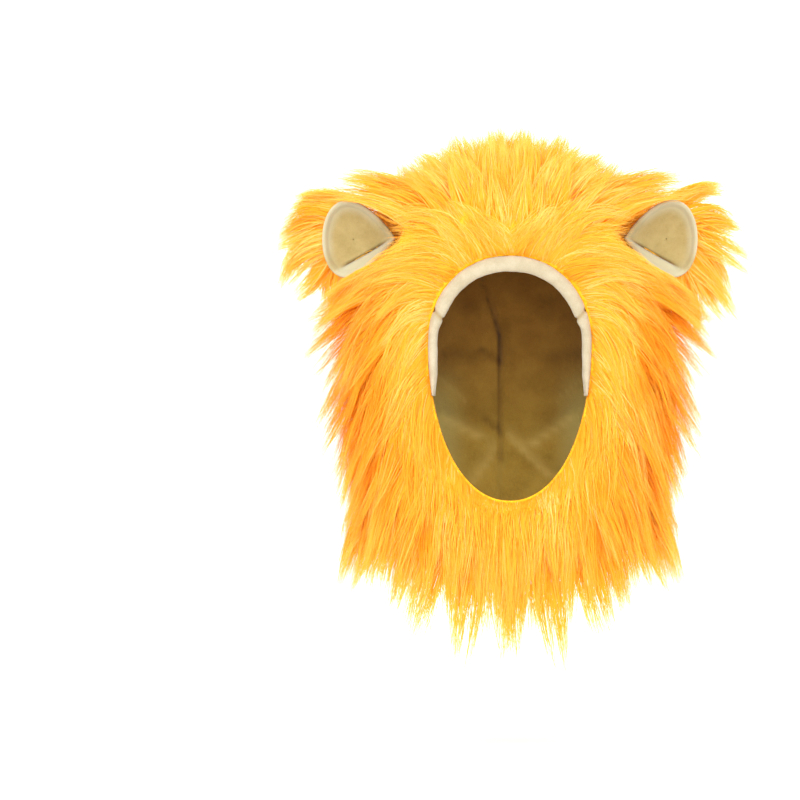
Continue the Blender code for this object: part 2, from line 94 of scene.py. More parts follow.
class Tone:
    """A shader socket that can be written in sums. Any other node comes from node()."""

    def __init__(self, tree, socket):
        self.tree = tree
        self.socket = socket

    def node(self, kind, settings=None, sockets=None, output=0):
        made = self.tree.nodes.new(kind)
        for key, value in (settings or {}).items():
            setattr(made, key, value)
        for key, value in (sockets or {}).items():
            if isinstance(value, Tone):
                self.tree.links.new(value.socket, made.inputs[key])
            else:
                made.inputs[key].default_value = value
        return Tone(self.tree, made.outputs[output])

    def math(self, operation, first, second=0.0):
        return self.node("ShaderNodeMath", {"operation": operation}, {0: first, 1: second})

    def __add__(self, other):
        return self.math("ADD", self, other)

    def __radd__(self, other):
        return self.math("ADD", other, self)

    def __mul__(self, other):
        return self.math("MULTIPLY", self, other)

    def __rmul__(self, other):
        return self.math("MULTIPLY", other, self)

    def between(self, low, high):
        """0 up to low, 1 from high, and smooth between them."""
        return self.node(
            "ShaderNodeMapRange",
            {"interpolation_type": "SMOOTHSTEP"},
            {"Value": self, "From Min": low, "From Max": high},
        )

    def mix(self, first, second):
        """The first colour where this is 0, the second where it is 1."""
        return self.node(
            "ShaderNodeMix",
            {"data_type": "RGBA"},
            {"Factor": self, 6: first, 7: second},
            output=2,
        )


def paint(red, green, blue):
    """A colour as read off a photograph, 0 to 255, in the renderer's linear values."""
    return tuple(
        c / 255 / 12.92 if c < 11 else ((c / 255 + 0.055) / 1.055) ** 2.4
        for c in (red, green, blue)
    )


def full(colour):
    return (*colour, 1.0)


class Finish:
    """A new material, with its shader and a place to write tones from."""

    def __init__(self, name, roughness, **constants):
        self.material = bpy.data.materials.new(name)
        self.material.use_nodes = True
        self.tree = self.material.node_tree
        self.shader = self.tree.nodes["Principled BSDF"]
        self.shader.inputs["Roughness"].default_value = roughness
        for key, value in constants.items():
            self.shader.inputs[key.replace("_", " ")].default_value = value
        self.start = Tone(self.tree, None)
        self.place = self.start.node("ShaderNodeTexCoord", output=3)

    def noise(self, scale, detail=2.0, roughness=0.5):
        return self.start.node(
            "ShaderNodeTexNoise",
            {},
            {"Vector": self.place, "Scale": scale, "Detail": detail, "Roughness": roughness},
        )

    def attribute(self, name):
        return self.start.node("ShaderNodeAttribute", {"attribute_name": name}, {}, output=2)

    def bump(self, height, distance, strength=1.0):
        made = self.start.node(
            "ShaderNodeBump", {}, {"Height": height, "Distance": distance, "Strength": strength}
        )
        self.tree.links.new(made.socket, self.shader.inputs["Normal"])

    def colour(self, tone):
        self.tree.links.new(tone.socket, self.shader.inputs["Base Color"])

    def let_light_through(self, tone, share):
        """Part of the light passes on through the surface, in the same colour."""
        through = self.start.node("ShaderNodeBsdfTranslucent", {}, {"Color": tone})
        surface = Tone(self.tree, self.shader.outputs[0])
        mixed = self.start.node("ShaderNodeMixShader", {}, {0: share, 1: surface, 2: through})
        self.tree.links.new(mixed.socket, self.tree.nodes["Material Output"].inputs["Surface"])


floor_paint = Finish("floor_paint", 0.9)
floor_grey = floor_paint.noise(3.0).between(0.2, 0.8)
floor_paint.colour(floor_grey.mix(full((0.93, 0.93, 0.93)), full((0.95, 0.95, 0.95))))


def flat_square(name, half, height, finish):
    mesh = bpy.data.meshes.new(name)
    corners = [(x * half, y * half, height) for x, y in ((-1, -1), (1, -1), (1, 1), (-1, 1))]
    mesh.from_pydata(corners, [], [(0, 1, 2, 3)])
    made = bpy.data.objects.new(name, mesh)
    scene.collection.objects.link(made)
    made.data.materials.append(finish.material)
    return made


flat_square("studio_floor", FLOOR_HALF_WIDTH, FLOOR_HEIGHT, floor_paint)


# The lining: a sewn sock of short olive plush round the hollow for the head, open at the face and
# at the neck. Its back seam is lapped, and the slack cloth falls in soft folds down to the hem.

OPENING_HALF_WIDTH = 0.0805
OPENING_ABOVE_WIDEST = 0.088
OPENING_BELOW_WIDEST = 0.1555
OPENING_WIDEST_DROP = 0.157
HOLLOW_FRONT = 0.105
HOLLOW_BACK = 0.125
HOLLOW_HALF_WIDTH = 0.112
HOOD_DROP = 0.382
LINING_WALL = 0.002
SEAM_GAP = 0.0003

# A ring of the hood runs round it, from the face edge, ring 0, over the head to the hem. Its
# columns are shares of the sizes above, as in the solid model.
Ring = namedtuple(
    "Ring", "over_y over_drop chin_y bib half_width widest side_back side_lift square"
)
RINGS = (
    Ring(-0.90, 0.115, 1.01, 0.10, 0.840, 0.61, 0.19, 0.000, 2.15),
    Ring(-0.72, 0.055, 1.01, 0.19, 0.925, 0.58, 0.21, 0.000, 2.25),
    Ring(-0.40, 0.014, 1.00, 0.28, 0.975, 0.56, 0.19, 0.000, 2.35),
    Ring(0.00, 0.000, 0.99, 0.37, 1.000, 0.55, 0.11, 0.000, 2.40),
    Ring(0.42, 0.020, 0.98, 0.45, 1.000, 0.53, 0.04, 0.000, 2.35),
    Ring(0.74, 0.095, 0.97, 0.53, 1.000, 0.52, 0.00, 0.000, 2.30),
    Ring(0.93, 0.210, 0.96, 0.61, 0.990, 0.50, 0.00, 0.000, 2.20),
    Ring(1.00, 0.340, 0.95, 0.68, 0.980, 0.50, 0.00, 0.010, 2.10),
    Ring(0.99, 0.480, 0.94, 0.76, 0.970, 0.50, 0.00, 0.020, 2.10),
    Ring(0.94, 0.640, 0.93, 0.84, 0.980, 0.50, 0.00, 0.045, 2.10),
    Ring(0.91, 0.810, 0.92, 0.92, 1.000, 0.50, 0.00, 0.070, 2.10),
    Ring(0.97, 1.000, 0.92, 1.00, 1.050, 0.50, 0.00, 0.100, 2.10),
)
FACE_RING = Ring(-0.95, 0.0, 1.0, 0.0, 0.0, 0.0, 0.17, 0.0, 2.10)
HEM = len(RINGS)


def ring_sizes():
    """Every ring in metres, one row each."""
    chin = -OPENING_WIDEST_DROP - OPENING_BELOW_WIDEST
    widest = OPENING_BELOW_WIDEST / (OPENING_ABOVE_WIDEST + OPENING_BELOW_WIDEST)
    rows = [(
        FACE_RING.over_y * HOLLOW_FRONT, OPENING_ABOVE_WIDEST - OPENING_WIDEST_DROP, -HOLLOW_FRONT,
        chin, OPENING_HALF_WIDTH, widest,
        FACE_RING.side_back * HOLLOW_FRONT, 0.0, FACE_RING.square,
    )]
    for ring in RINGS:
        depth = HOLLOW_FRONT if ring.over_y < 0 else HOLLOW_BACK
        rows.append((
            ring.over_y * depth, -ring.over_drop * HOOD_DROP, -ring.chin_y * HOLLOW_FRONT,
            chin + ring.bib * (-HOOD_DROP - chin), ring.half_width * HOLLOW_HALF_WIDTH,
            ring.widest, ring.side_back * HOLLOW_FRONT, ring.side_lift * HOOD_DROP, ring.square,
        ))
    return np.array(rows)


RING_SIZES = ring_sizes()


def ease(value):
    """0 up to 0, 1 from 1, and a smooth climb between."""
    value = np.clip(value, 0.0, 1.0)
    return value * value * (3.0 - 2.0 * value)


def unit(vectors):
    return vectors / np.maximum(np.linalg.norm(vectors, axis=-1, keepdims=True), 1e-9)


def on_hood(around, ring):
    """Points of the hollow's face. around is in degrees from the top towards +X."""
    around, ring = np.broadcast_arrays(np.asarray(around, float), np.asarray(ring, float))
    here = np.clip(ring.astype(int), 0, HEM - 1)
    part = (ring - here)[..., None]
    a, b = RING_SIZES[np.maximum(here - 1, 0)], RING_SIZES[here]
    c, d = RING_SIZES[here + 1], RING_SIZES[np.minimum(here + 2, HEM)]
    rows = 0.5 * (2 * b + (c - a) * part + (2 * a - 5 * b + 4 * c - d) * part**2
                  + (3 * b - a - 3 * c + d) * part**3)
    over_y, over_z, chin_y, chin_z, half_width, widest, side_back, side_lift, square = (
        np.moveaxis(rows, -1, 0)
    )
    turn = np.radians(around)
    sideways = np.sign(np.sin(turn)) * np.abs(np.sin(turn)) ** (2.0 / square)
    upward = np.sign(np.cos(turn)) * np.abs(np.cos(turn)) ** (2.0 / square)
    share = widest + upward * np.where(upward > 0, 1.0 - widest, widest)
    side = np.sin(turn) ** 2
    return np.stack([
        half_width * sideways,
        chin_y + share * (over_y - chin_y) + side_back * side,
        chin_z + share * (over_z - chin_z) + side_lift * side,
    ], axis=-1)


def cloth_ways(around, ring):
    """The outward direction of the cloth and the one along it, away from the face."""
    low, high = np.maximum(ring - 0.02, 0.0), np.minimum(ring + 0.02, HEM)
    away = unit(on_hood(around, high) - on_hood(around, low))
    across = on_hood(around + 1.0, ring) - on_hood(around - 1.0, ring)
    return unit(np.cross(across, away)), away


# The slack in the back of the lining, as seen through the face opening. Each row is a crease: its
# two ends, how far it stands into the hollow, how wide it is on its left and on its right, and the
# painted light, above 0, and painted shade, below 0, on it. The first six are the lapped back seam
# and its puckers.
Crease = namedtuple("Crease", "x z to_x to_z rise left right nap")
CREASES = (
    Crease(-0.026, -0.100, -0.0133, -0.144, 0.0040, 0.030, 0.003, 0.0),
    Crease(-0.0133, -0.144, -0.0123, -0.304, 0.0045, 0.030, 0.003, 0.0),
    Crease(-0.0250, -0.104, -0.0115, -0.146, 0.0, 0.0018, 0.0024, -0.6),
    Crease(-0.0115, -0.146, -0.0105, -0.278, 0.0, 0.0018, 0.0026, -0.7),
    Crease(-0.0130, -0.172, -0.0300, -0.160, 0.0025, 0.005, 0.005, -0.5),
    Crease(-0.0120, -0.246, -0.0280, -0.232, 0.0025, 0.006, 0.004, -0.5),
    Crease(-0.066, -0.163, -0.040, -0.166, -0.0008, 0.010, 0.010, -0.45),
    Crease(0.046, -0.166, 0.070, -0.164, -0.0008, 0.010, 0.010, -0.45),
    Crease(-0.070, -0.232, -0.034, -0.252, 0.0045, 0.004, 0.010, 0.6),
    Crease(0.068, -0.230, 0.028, -0.258, 0.0045, 0.010, 0.004, 0.6),
    Crease(-0.012, -0.262, -0.040, -0.300, 0.0030, 0.012, 0.004, 0.5),
    Crease(-0.002, -0.250, 0.040, -0.290, 0.0040, 0.004, 0.010, 0.55),
    Crease(-0.006, -0.134, -0.004, -0.158, -0.0008, 0.010, 0.010, -0.40),
    Crease(-0.072, -0.190, -0.048, -0.212, 0.0015, 0.003, 0.003, 0.4),
    Crease(0.074, -0.190, 0.050, -0.212, 0.0015, 0.003, 0.003, 0.4),
    Crease(-0.046, -0.112, -0.040, -0.112, -0.0008, 0.011, 0.011, -0.40),
    Crease(0.036, -0.110, 0.042, -0.110, -0.0008, 0.011, 0.011, -0.40),
)


def creased(places):
    """How far the slack stands into the hollow, and its painted light and shade, -1 dark to 1."""
    rise, nap = 0.0, 0.0
    at_back = ease((places[..., 1] - 0.02) / 0.05)
    for crease in CREASES:
        run = np.array([crease.to_x - crease.x, crease.to_z - crease.z])
        off = places[..., (0, 2)] - (crease.x, crease.z)
        share = np.clip((off @ run) / (run @ run), 0.0, 1.0)
        gap = off - share[..., None] * run
        reach = np.linalg.norm(gap, axis=-1)
        on_left = run[0] * gap[..., 1] - run[1] * gap[..., 0] < 0.0
        width = np.where(on_left, crease.left, crease.right)
        depth = np.exp(-((reach / width) ** 2)) * at_back
        rise = rise + crease.rise * depth
        nap = nap + crease.nap * depth
    return rise, nap


def grid_piece(name, points, finish, joined=(True, False), attributes=None):
    """A smooth mesh over a grid of points. joined says whether its columns and its rows close."""
    rows, columns = points.shape[:2]
    index = np.arange(rows * columns).reshape(rows, columns)
    over = np.roll(index, -1, axis=0)
    if not joined[1]:
        index, over = index[:-1], over[:-1]
    index_next, over_next = np.roll(index, -1, axis=1), np.roll(over, -1, axis=1)
    faces = np.stack([index, index_next, over_next, over], axis=-1)
    if not joined[0]:
        faces = faces[:, :-1]
    mesh = bpy.data.meshes.new(name)
    mesh.from_pydata(points.reshape(-1, 3).tolist(), [], faces.reshape(-1, 4).tolist())
    mesh.shade_smooth()
    for key, values in (attributes or {}).items():
        made = mesh.attributes.new(key, "FLOAT", "POINT")
        made.data.foreach_set("value", np.asarray(values, np.float32).ravel())
    piece = bpy.data.objects.new(name, mesh)
    scene.collection.objects.link(piece)
    mesh.materials.append(finish.material)
    return piece


PLUSH_SHEEN = {"Sheen_Weight": 0.25, "Sheen_Roughness": 0.5, "Specular_IOR_Level": 0.10}
plush = Finish("olive_plush", 0.85, **PLUSH_SHEEN)
nap_patches = plush.noise(34.0, 4.0, roughness=0.62)
nap_fine = plush.noise(700.0, 2.0)
fold_painted_shading = plush.attribute("nap")
painted_side_light = plush.attribute("painted_side_light")
plush_height = plush.start.node("ShaderNodeSeparateXYZ", {}, {"Vector": plush.place}, output=2)
# Painted shade and light: the top of the hollow is painted darker and browner, its low part
# lighter and greener.
painted_light_low_down = plush_height.between(-0.09, -0.32)
patch = nap_patches.between(0.25, 0.75) * 0.75 + nap_fine.between(0.3, 0.7) * 0.25
plush_painted_shade_top = patch.mix(full(paint(120, 80, 26)), full(paint(142, 100, 38)))
plush_painted_light_low = patch.mix(full(paint(126, 100, 34)), full(paint(148, 122, 50)))
plush_tone = painted_light_low_down.mix(plush_painted_shade_top, plush_painted_light_low)
# Painted light: the lower sides of the hollow are painted paler.
plush_tone = painted_side_light.mix(plush_tone, full(paint(168, 156, 94)))
# Painted highlight on the ridges of the folds; painted shade in their hollows, along the lapped
# seam and in its puckers.
plush_tone = fold_painted_shading.between(0.0, 1.3).mix(plush_tone, full(paint(184, 158, 90)))
plush.colour(fold_painted_shading.between(0.0, -1.1).mix(plush_tone, full(paint(72, 45, 12))))
plush.bump(nap_fine * 0.6 + nap_patches * 0.4, 0.0012, 0.6)

LINING_COLUMNS = 190
LINING_ROWS = 94
around_grid, ring_grid = np.meshgrid(
    np.arange(LINING_COLUMNS) * 360.0 / LINING_COLUMNS, np.linspace(0.0, HEM, LINING_ROWS)
)
outward_grid = cloth_ways(around_grid, ring_grid)[0]
taut = on_hood(around_grid, ring_grid)
slack, nap = creased(taut)
inner_face = taut - outward_grid * slack[..., None]
outer_face = taut + outward_grid * LINING_WALL
# How much painted light lies on the lower sides of the hollow.
painted_side_light_share = ease((np.abs(taut[..., 0]) - 0.040) / 0.035) * ease((-taut[..., 2] - 0.16) / 0.08)
painted_side_light_share = 0.65 * painted_side_light_share
lining = grid_piece(
    "plush_lining", np.concatenate([inner_face, outer_face[::-1]]), plush, joined=(True, True),
    attributes={
        "nap": np.concatenate([nap, nap[::-1] * 0.0]),
        "painted_side_light": np.concatenate([painted_side_light_share, painted_side_light_share[::-1] * 0.0]),
    },
)
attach(lining, "root")
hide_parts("lining")


# The band: a soft roll of cream plush, sewn over the raw edge of the upper face opening, with a
# joint puckered into it at each side. It thins out where the long fur takes over the edge.

TRIM_WIDTH = 0.016
TRIM_DEPTH = 0.0052
TRIM_GAP = 0.0005
TrimWidth = namedtuple("TrimWidth", "around share")
TRIM_WIDTHS = (
    TrimWidth(0.0, 1.00),
    TrimWidth(30.0, 0.96),
    TrimWidth(58.0, 0.98),
    TrimWidth(68.0, 0.92),
    TrimWidth(76.0, 0.70),
    TrimWidth(90.0, 0.66),
    TrimWidth(100.0, 0.50),
    TrimWidth(108.0, 0.16),
)
PUCKER_AT = 67.0
PUCKER_WIDTH = 1.5
TRIM_LIFT = 0.00365
TRIM_STEPS = 260
TRIM_SIDES = 28

cream = Finish("cream_plush", 0.9, **PLUSH_SHEEN)
pile_patches = cream.noise(70.0, 3.0, roughness=0.6)
pile_fine = cream.noise(1100.0, 2.0)
pucker_shade = cream.attribute("pucker")
cream_tone = (pile_patches.between(0.3, 0.7) * 0.6 + pile_fine.between(0.3, 0.7) * 0.4).mix(
    full(paint(158, 146, 119)), full(paint(178, 167, 142))
)
cream.colour(pucker_shade.mix(cream_tone, full(paint(150, 130, 92))))
cream.bump(pile_fine * 0.7 + pile_patches * 0.3, 0.0007, 0.6)

trim_end = TRIM_WIDTHS[-1].around
trim_around = np.linspace(-trim_end, trim_end, TRIM_STEPS)
trim_turn = np.linspace(0.0, 2.0 * math.pi, TRIM_SIDES, endpoint=False)
trim_share = np.interp(np.abs(trim_around), *zip(*TRIM_WIDTHS))
trim_normal, trim_away = cloth_ways(trim_around, np.zeros_like(trim_around))
pucker = np.exp(-(((np.abs(trim_around) - PUCKER_AT) / PUCKER_WIDTH) ** 2))
wrinkle = 0.018 * np.sin(trim_around * 0.31) + 0.010 * np.sin(trim_around * 0.83 + 1.0)
half = trim_share * TRIM_WIDTH / 2.0
trim_middle = on_hood(trim_around, np.zeros_like(trim_around)) + trim_normal * TRIM_LIFT
trim_middle = trim_middle - trim_away * (half + TRIM_GAP)[:, None]
plump = (1.0 - 0.30 * pucker + wrinkle)[:, None]
roll = np.stack([
    trim_normal * (TRIM_DEPTH * plump * np.sin(turn))
    - trim_away * (half[:, None] * plump * np.cos(turn))
    for turn in trim_turn
], axis=1)
band = grid_piece(
    "face_band", trim_middle[:, None] + roll, cream,
    attributes={"pucker": np.repeat(0.8 * pucker[:, None], len(trim_turn), axis=1)},
)
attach(band, "root")
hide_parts("face_trim")


# The ears: a round face of short beige plush over a little wadding, its lower edge folded up to a
# flap. It is sewn to a back of the long fur, and the ear's root is caught in the mane.

EAR_LENGTH = 0.078
EAR_HALF_HEIGHT = 0.0396
EAR_ROOT_OUT = 0.004
EAR_ROOT_FORWARD = 0.022
EAR_ROOT_DROP = 0.048
EAR_SWEEP = math.radians(15.0)
EAR_DISH = 0.012
EAR_MIDDLE = 0.62
EAR_FACE_WALL = 0.003
EAR_BACK_WALL = 0.014
EAR_CREASE_DROP = -0.0048
EAR_CREASE_SLOPE = 0.53
EAR_FLAP_RISE = 0.007
EAR_FLAP_FADE = 0.006
EAR_FLAP_START_FADE = 0.020
EAR_FLAP_END = 0.80
EAR_FLAP_END_FADE = 0.015


def ear_ways(side):
    """The root of an ear and its outward and forward directions. side is 1 at +X, -1 at -X."""
    root = np.array([side * (HOLLOW_HALF_WIDTH + EAR_ROOT_OUT), -EAR_ROOT_FORWARD, -EAR_ROOT_DROP])
    along = np.array([side * math.cos(EAR_SWEEP), math.sin(EAR_SWEEP), 0.0])
    forward = np.array([side * math.sin(EAR_SWEEP), -math.cos(EAR_SWEEP), 0.0])
    return root, along, forward


def ear_outline(turn):
    """Outward and upward of the root. turn runs from the root over the top."""
    reach = np.sin(turn / 2.0)
    tear_peak = 2.0 / (3.0 * math.sqrt(3.0))
    return EAR_LENGTH * reach**2, EAR_HALF_HEIGHT * reach**2 * np.cos(turn / 2.0) / tear_peak


def ear_surface(out, up):
    """How far forward the ear's face lies: a dish, with the flap below its crease."""
    middle = EAR_MIDDLE * EAR_LENGTH
    half_length = np.where(out < middle, middle, EAR_LENGTH - middle)
    from_middle = ((out - middle) / half_length) ** 2 + (up / EAR_HALF_HEIGHT) ** 2
    dish = -EAR_DISH * (1.0 - np.minimum(from_middle, 1.0))
    below = ease((-EAR_CREASE_DROP - EAR_CREASE_SLOPE * out - up) / EAR_FLAP_FADE)
    ends = ease(out / EAR_FLAP_START_FADE)
    ends = ends * ease((EAR_LENGTH * EAR_FLAP_END - out) / EAR_FLAP_END_FADE)
    return dish + EAR_FLAP_RISE * below * ends


def ear_points(side, share, turn, back):
    """Points of the ear at shares of the way from its middle to its outline."""
    root, along, forward = ear_ways(side)
    middle = EAR_MIDDLE * EAR_LENGTH
    out, up = ear_outline(turn)
    out, up = middle + (out - middle) * share, up * share
    front = ear_surface(out, up) - back
    flat = root + out[..., None] * along + up[..., None] * np.array([0.0, 0.0, 1.0])
    return flat + front[..., None] * forward


minky = Finish("beige_plush", 0.9, **PLUSH_SHEEN)
minky_patches = minky.noise(70.0, 4.0, roughness=0.62)
minky_fine = minky.noise(1000.0, 2.0)
painted_rim_light = minky.attribute("rim")
painted_crease_shade = minky.attribute("crease_painted_shade")
minky_mottle = minky_patches.between(0.25, 0.75) * 0.7 + minky_fine.between(0.3, 0.7) * 0.3
minky_dish = minky_mottle.mix(full(paint(144, 128, 79)), full(paint(165, 149, 100)))
# Painted light: the rolled rim and the folded-up lip are painted paler.
minky_painted_rim_light = painted_rim_light.mix(minky_dish, full(paint(172, 167, 138)))
# Painted shade in the crease over the flap.
minky.colour(painted_crease_shade.mix(minky_painted_rim_light, full(paint(92, 60, 22))))
minky.bump(minky_fine * 0.6 + minky_patches * 0.4, 0.0008, 0.6)

coat = Finish("undercoat", 0.8, Specular_IOR_Level=0.1)
coat_tufts = coat.noise(220.0, 3.0)
coat.colour(coat_tufts.between(0.3, 0.7).mix(full(paint(255, 166, 24)), full(paint(255, 188, 40))))
coat.bump(coat_tufts, 0.003, 0.8)

EAR_CREASE_WIDTH = 0.0016
EAR_CREASE_DEPTH = 0.0030
EAR_RIM_ROLL = 0.0022
EAR_SIDES = 96
EAR_TURNS = np.linspace(0.0, 2.0 * math.pi, EAR_SIDES, endpoint=False) + math.pi / EAR_SIDES
EAR_SHARES = np.concatenate([np.linspace(0.02, 0.84, 42), np.linspace(0.86, 0.99, 9)])


def crease_line(out, up):
    """How near a point of the ear is to the crease over its flap, from 0 to 1."""
    off = up + EAR_CREASE_DROP + EAR_CREASE_SLOPE * out + EAR_FLAP_FADE * 0.3
    ends = ease((out - 0.004) / 0.018) * ease((EAR_LENGTH * EAR_FLAP_END - out) / 0.012)
    return np.exp(-((off / EAR_CREASE_WIDTH) ** 2)) * ends


for side, word in ((-1, "left"), (1, "right")):
    turn_grid, share_grid = np.meshgrid(EAR_TURNS, EAR_SHARES)
    out, up = ear_outline(turn_grid)
    out_here = EAR_MIDDLE * EAR_LENGTH + (out - EAR_MIDDLE * EAR_LENGTH) * share_grid
    up_here = up * share_grid
    near_crease = crease_line(out_here, up_here)
    groove = EAR_CREASE_DEPTH * near_crease
    rolled = np.sqrt(np.clip(1.0 - ((share_grid - 0.90) / 0.10) ** 2, 0.0, 1.0))
    rolled = EAR_RIM_ROLL * (ease((share_grid - 0.80) / 0.10) * rolled)
    front = ear_points(side, share_grid, turn_grid, groove - rolled)
    edge = ear_points(side, np.full((1, EAR_SIDES), 0.998), EAR_TURNS[None], EAR_FACE_WALL / 2.0)
    rear = ear_points(side, share_grid[::-1], turn_grid, EAR_FACE_WALL + groove[::-1])
    # The rim, most at its top and outer side, and the lip below the crease are painted paler, as
    # painted light.
    outer_top = up_here / EAR_HALF_HEIGHT + out_here / EAR_LENGTH * 1.3
    rim = ease((share_grid - 0.58) / 0.36) * (0.35 + 0.65 * ease((outer_top - 0.55) / 0.5))
    lip = ease((-EAR_CREASE_DROP - EAR_CREASE_SLOPE * out_here - up_here - 0.001) / 0.003)
    rim = np.maximum(rim, 0.9 * lip)
    back_tone = share_grid[::-1] * 0.0
    ear = grid_piece(
        f"ear_plush_{word}", np.concatenate([front, edge, rear]), minky,
        attributes={
            "rim": np.concatenate([rim, rim[-1:], back_tone]),
            "crease_painted_shade": np.concatenate([0.95 * near_crease, 0.0 * rim[-1:], back_tone]),
        },
    )
    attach(ear, "root")
    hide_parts(f"ear_face_{word}")
    shell_share, shell_turn = share_grid[::3, ::2], turn_grid[::3, ::2]
    behind_face = EAR_FACE_WALL + EAR_CREASE_DEPTH
    hump = EAR_BACK_WALL * (1.0 - shell_share[::-1] ** 2) + EAR_FACE_WALL + EAR_CREASE_DEPTH
    back = ear_points(side, shell_share[::-1], shell_turn, hump)
    seat = ear_points(side, shell_share * 0.97, shell_turn, behind_face + SEAM_GAP)
    ear_back = grid_piece(f"ear_backing_{word}", np.concatenate([seat, back]), coat)
    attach(ear_back, "root")
    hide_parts(f"ear_back_{word}")


# The mane: long-pile fur fabric, one sewn shell round the lining. Its dense undercoat hides the
# knitted backing, and the long pile over it is brushed up at the brow and falls at the sides.

UNDERCOAT_TOP = 0.022
UNDERCOAT_SIDE = 0.024
UNDERCOAT_CHIN = 0.014
UNDERCOAT_AT_EDGE = 0.0025
UNDERCOAT_AT_EAR = 0.006
UNDERCOAT_EDGE_RINGS = 1.8
UNDERCOAT_TUFT = 0.0035
UNDERCOAT_WAVES = 7
EAR_POCKET = 0.040


def from_top(around):
    """Degrees away from the middle of the crown, on either side."""
    return np.abs((around + 180.0) % 360.0 - 180.0)


def undercoat_depth(around, ring):
    """The dense fur's thickness, thin at the face edge and in the pockets where the ears sit."""
    depth = np.interp(
        from_top(around), (0, 60, 120, 180),
        (UNDERCOAT_TOP, UNDERCOAT_SIDE, UNDERCOAT_SIDE, UNDERCOAT_CHIN),
    )
    place = on_hood(around, ring)
    for side in (-1, 1):
        in_pocket = 1.0 - np.linalg.norm(place - ear_ways(side)[0], axis=-1) / EAR_POCKET
        depth = depth + (UNDERCOAT_AT_EAR - depth) * ease(in_pocket * 1.4)
    return UNDERCOAT_AT_EDGE + (depth - UNDERCOAT_AT_EDGE) * ease(ring / UNDERCOAT_EDGE_RINGS)


rng = np.random.default_rng(11)
around_coat, ring_coat = np.meshgrid(np.arange(120) * 3.0, np.linspace(0.0, HEM, 60))
coat_normal = cloth_ways(around_coat, ring_coat)[0]
coat_inner = on_hood(around_coat, ring_coat) + coat_normal * (LINING_WALL + SEAM_GAP)
tufts = sum(
    np.sin(coat_inner @ (rng.normal(0.0, 1.0, 3) * (150.0, 150.0, 55.0)) + rng.uniform(0, 6))
    for _ in range(UNDERCOAT_WAVES)
) / UNDERCOAT_WAVES
coat_depth = undercoat_depth(around_coat, ring_coat) - LINING_WALL
coat_depth = coat_depth + UNDERCOAT_TUFT * tufts * ease(ring_coat / UNDERCOAT_EDGE_RINGS)
coat_outer = coat_inner + coat_normal * np.maximum(coat_depth, 0.0006)[..., None]
coat_shell = np.concatenate([coat_outer, coat_inner[::-1]])
undercoat = grid_piece("mane_undercoat", coat_shell, coat, joined=(True, True))
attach(undercoat, "root")
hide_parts("mane")

LIGHT_THROUGH_PILE = 0.45
pile = Finish("mane_pile", 0.55, Specular_IOR_Level=0.15)
along_hair = pile.attribute("along")
hair_tone = pile.attribute("tone")
pile_root = full(paint(255, 183, 36))
pile_middle = full(paint(255, 193, 55))
pile_tip = full(paint(255, 205, 84))
pile_dark = full(paint(255, 178, 36))
pile_light = full(paint(255, 219, 122))
root_to_middle = along_hair.between(-0.1, 0.45).mix(pile_root, pile_middle)
root_to_tip = along_hair.between(0.5, 1.0).mix(root_to_middle, pile_tip)
darker = hair_tone.between(0.45, 0.0).mix(root_to_tip, pile_dark)
pile_tone = hair_tone.between(0.55, 1.0).mix(darker, pile_light)
pile.colour(pile_tone)
pile.let_light_through(pile_tone, LIGHT_THROUGH_PILE)

DOWN = np.array([0.0, 0.0, -1.0])
BACKWARD = np.array([0.0, 1.0, 0.0])
HAIR_POINTS = 6
HAIR_WIDTH = 0.00085
GUIDE_STEPS = 10


def front_way(degrees):
    """A direction in the front view, in degrees from straight up over to the hood's right."""
    turn = np.radians(degrees)
    return np.stack([np.sin(turn), np.zeros_like(turn), np.cos(turn)], axis=-1)


def hair_mesh(name, paths, normals, tone, finish, widths):
    """One mesh of flat tapering hairs that face out, shaded as the lock that they lie in."""
    count, points = paths.shape[:2]
    along = np.linspace(0.0, 1.0, points)
    way = unit(np.gradient(paths, axis=1))
    facing = unit(normals - way * np.sum(way * normals, axis=-1, keepdims=True) * 0.85)
    side = unit(np.cross(way, facing))
    roll = rng.uniform(-0.5, 0.5, (count, 1, 1))
    side = side * np.cos(roll) + facing * np.sin(roll)
    half = side * ((1.0 - along**1.7)[None] * widths[:, None])[..., None] / 2.0
    pairs = np.stack([paths - half, paths + half], axis=2)[:, :-1].reshape(count, -1, 3)
    vertices = np.concatenate([pairs, paths[:, -1:]], axis=1)
    shading = np.concatenate([np.repeat(facing[:, :-1], 2, axis=1), facing[:, -1:]], axis=1)
    per_hair = vertices.shape[1]
    triangles = []
    for low in range(0, 2 * (points - 2), 2):
        triangles += [(low, low + 1, low + 3), (low, low + 3, low + 2)]
    triangles.append((per_hair - 3, per_hair - 2, per_hair - 1))
    first = (np.arange(count) * per_hair)[:, None, None]
    triangles = (np.array(triangles) + first).reshape(-1, 3)
    mesh = bpy.data.meshes.new(name)
    mesh.vertices.add(count * per_hair)
    mesh.vertices.foreach_set("co", vertices.reshape(-1).astype(np.float32))
    mesh.loops.add(len(triangles) * 3)
    mesh.loops.foreach_set("vertex_index", triangles.reshape(-1).astype(np.int32))
    mesh.polygons.add(len(triangles))
    mesh.polygons.foreach_set("loop_start", np.arange(len(triangles), dtype=np.int32) * 3)
    mesh.update(calc_edges=True)
    mesh.shade_smooth()
    share = np.append(np.repeat(along[:-1], 2), 1.0)
    for key, values in (("along", np.tile(share, count)), ("tone", np.repeat(tone, per_hair))):
        made = mesh.attributes.new(key, "FLOAT", "POINT")
        made.data.foreach_set("value", values.astype(np.float32))
    made = mesh.attributes.new("custom_normal", "FLOAT_VECTOR", "POINT")
    made.data.foreach_set("vector", shading.reshape(-1).astype(np.float32))
    mesh.materials.append(finish.material)
    piece = bpy.data.objects.new(name, mesh)
    scene.collection.objects.link(piece)
    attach(piece, "root")
    return piece


